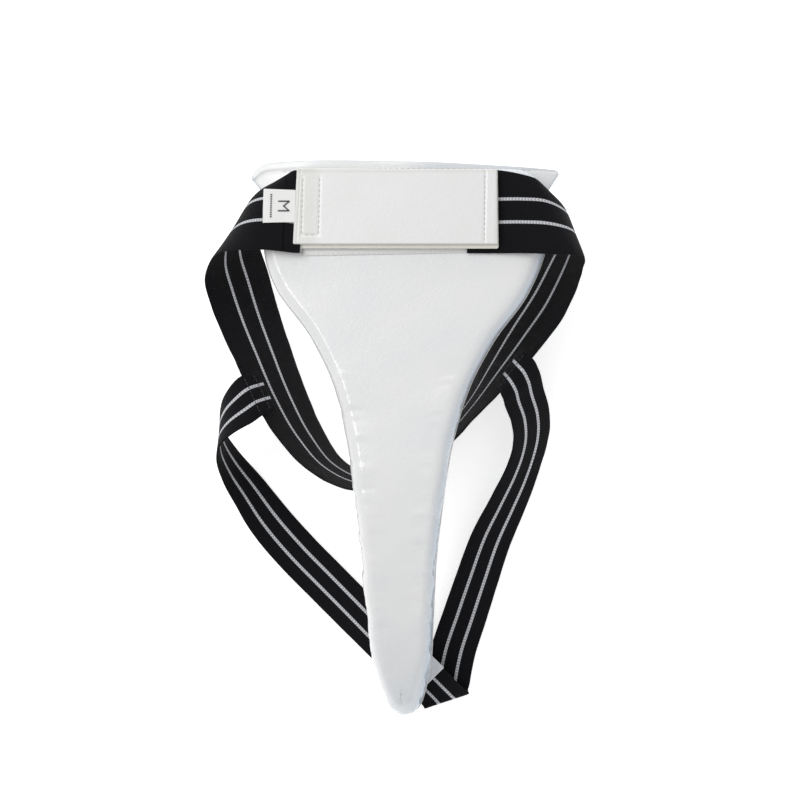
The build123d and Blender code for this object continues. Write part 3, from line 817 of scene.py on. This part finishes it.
def cross_rows(name, stops, side):
    """Bars of thread across one face of the leg strap at these stops, as short stitches."""
    middles, runs, normals = [], [], []
    route = np.array(LEG_ROUTE, float)
    for stop in stops:
        x, y, z, heading, rise = route[stop]
        h, r = np.radians(heading), np.radians(rise)
        line = np.array([np.cos(r) * np.cos(h), np.cos(r) * np.sin(h), np.sin(r)])
        run = route[min(stop + 1, len(route) - 1), :3] - route[max(stop - 1, 0), :3]
        face = np.cross(run, line)
        face /= np.linalg.norm(face)
        share = np.linspace(-0.38, 0.38, 9)[:, None] * LEG_WIDTH
        middles.append(np.array([x, y, z]) + line * share + face * side * (ELASTIC / 2 + 0.12))
        runs.append(np.tile(line, (9, 1)))
        normals.append(np.tile(face * side, (9, 1)))
    return seam(name, np.concatenate(middles), np.concatenate(runs), np.concatenate(normals),
                BLACK_THREAD, length=2.1, radius=0.26)


anchor_seam = cross_rows("anchor_seam", (14, 15), -1)
left_seam = cross_rows("left_junction_seam", (1, 2), -1)
right_seam = cross_rows("right_junction_seam", (32, 33), -1)

# ---------------------------------------------------------------- who moves with whom
ROOT, TAB, LABEL = "guard", "closure_tab", "size_label"
for piece, body, slot, nodes in (
        (guard, ROOT, "white_vinyl", ("front_cover", "foam_core", "comfort_foam")),
        (lining, ROOT, "grey_lining", ("back_liner",)),
        (hem, ROOT, "white_vinyl", ("top_hem",)),
        (base, ROOT, "white_vinyl", ("base_panel",)),
        (loops, ROOT, "loop_tape", ("loop_tape",)),
        (waist, ROOT, "striped_elastic", ("waistband",)),
        (leg, ROOT, "striped_elastic", ("leg_strap",)),
        (patch, ROOT, "woven_tape", ("anchor_patch",)),
        (base_seam, ROOT, "white_thread", ("base_panel_stitching",)),
        (end_seam, ROOT, "black_thread", ("waistband_end_stitching",)),
        (hem_seam, ROOT, "white_thread", ("top_hem_stitching",)),
        (back_seam, ROOT, "white_thread", ("back_seam_stitching",)),
        (anchor_seam, ROOT, "black_thread", ("anchor_stitching",)),
        (left_seam, ROOT, "black_thread", ("left_junction_stitching",)),
        (right_seam, ROOT, "black_thread", ("right_junction_stitching",)),
        (tab, TAB, "white_vinyl", ("tab_cover",)),
        (backing, TAB, "cream_backing", ("tab_backing",)),
        (hooks, TAB, "hook_tape", ("hook_tape",)),
        (box_seam, TAB, "white_thread", ("tab_box_stitching",)),
        (edge_seam, TAB, "white_thread", ("tab_edge_stitching",)),
        (size_mark, LABEL, "label_satin", ()),
        (mark_line, LABEL, "label_satin", ())):
    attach(piece, body)
    if nodes:
        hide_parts(*nodes)
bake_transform(tab_band)
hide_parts("waistband_tab_end")
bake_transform(label)
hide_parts("size_label")


# ---------------------------------------------------------------- table and light
def table_top(name, half, rise):
    """A level sheet that curves up gently at its far side: height = rise * (distance past)^2."""
    x, y = np.meshgrid(np.linspace(-half, half, 9), np.linspace(-half, half, 41))
    z = rise * np.maximum(0, y - 1.2) ** 2 - 0.0002
    number = np.arange(x.size).reshape(x.shape)
    faces = np.stack([number[:-1, :-1], number[:-1, 1:], number[1:, 1:], number[1:, :-1]], -1)
    mesh = bpy.data.meshes.new(name)
    mesh.from_pydata(np.dstack([x, y, z]).reshape(-1, 3), [], faces.reshape(-1, 4))
    mesh.shade_smooth()
    top = bpy.data.objects.new(name, mesh)
    scene.collection.objects.link(top)
    return top


# the table glows with its own white light: painted light that washes out the shadows cast on it
glowing_table_finish = Finish("glowing_pale_table", Roughness=0.9, Specular_IOR_Level=0.1, Emission_Strength=0.6)
glowing_table_finish.shader.inputs["Base Color"].default_value = (0.93, 0.93, 0.93, 1)
glowing_table_finish.shader.inputs["Emission Color"].default_value = (1, 1, 1, 1)
table_top("table", 4.0, 0.25).data.materials.append(glowing_table_finish.material)


def lamp(name, place, aim, size, watts, colour=(1, 1, 1)):
    """A soft square light that looks at a point."""
    light = bpy.data.lights.new(name, "AREA")
    light.shape, light.size, light.energy, light.color = "SQUARE", size, watts, colour
    made = bpy.data.objects.new(name, light)
    scene.collection.objects.link(made)
    way = Vector(aim) - Vector(place)
    made.matrix_world = Matrix.Translation(Vector(place)) @ way.to_track_quat("-Z", "Y").to_matrix().to_4x4()


lamp("key", (-0.9, 0.7, 1.5), (0, 0, 0), 1.2, 14)
lamp("glint", (-0.66, 0.05, 1.38), (0, 0, 0.06), 0.16, 0.9)
lamp("fill", (0.9, -0.9, 1.6), (0, 0, 0), 1.6, 4, (0.96, 0.98, 1))
world = bpy.data.worlds.new("studio")
scene.world = world
world.use_nodes = True
world.node_tree.nodes["Background"].inputs[0].default_value = (1, 1, 1, 1)
world.node_tree.nodes["Background"].inputs[1].default_value = 0.55
